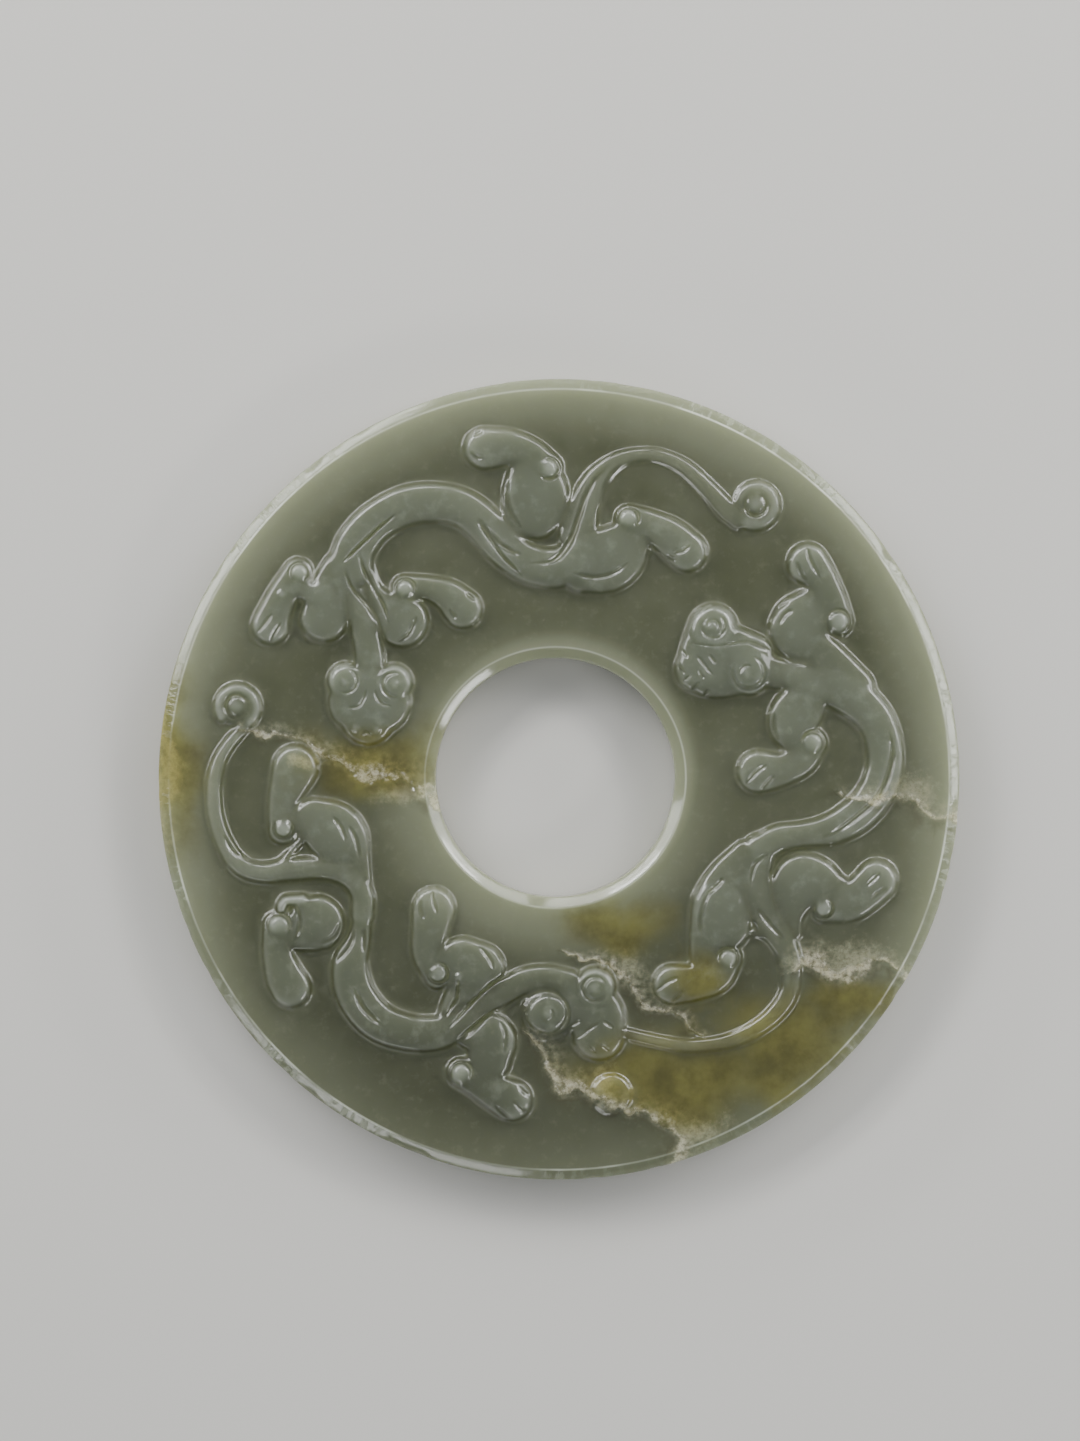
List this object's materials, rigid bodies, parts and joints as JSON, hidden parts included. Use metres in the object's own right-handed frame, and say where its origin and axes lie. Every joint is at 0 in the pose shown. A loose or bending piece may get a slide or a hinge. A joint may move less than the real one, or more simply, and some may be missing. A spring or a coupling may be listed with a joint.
{
  "type": "jade bi disc",
  "caption": "Flat pierced disc of pale green jade, carved in low relief with chi dragons round its face; a ritual and collector's ornament.",
  "frame": {"origin": "centre of the disc on its back face, where it lies on a surface", "axes": "+Z out of the carved face, +Y towards the top of the picture, +X to its right"},
  "size_m": [0.13, 0.13, 0.0098],
  "materials": {
    "celadon_jade": "gloss"
  },
  "bodies": {
    "root": {"bi_disc": "celadon_jade"}
  },
  "joints": []
}
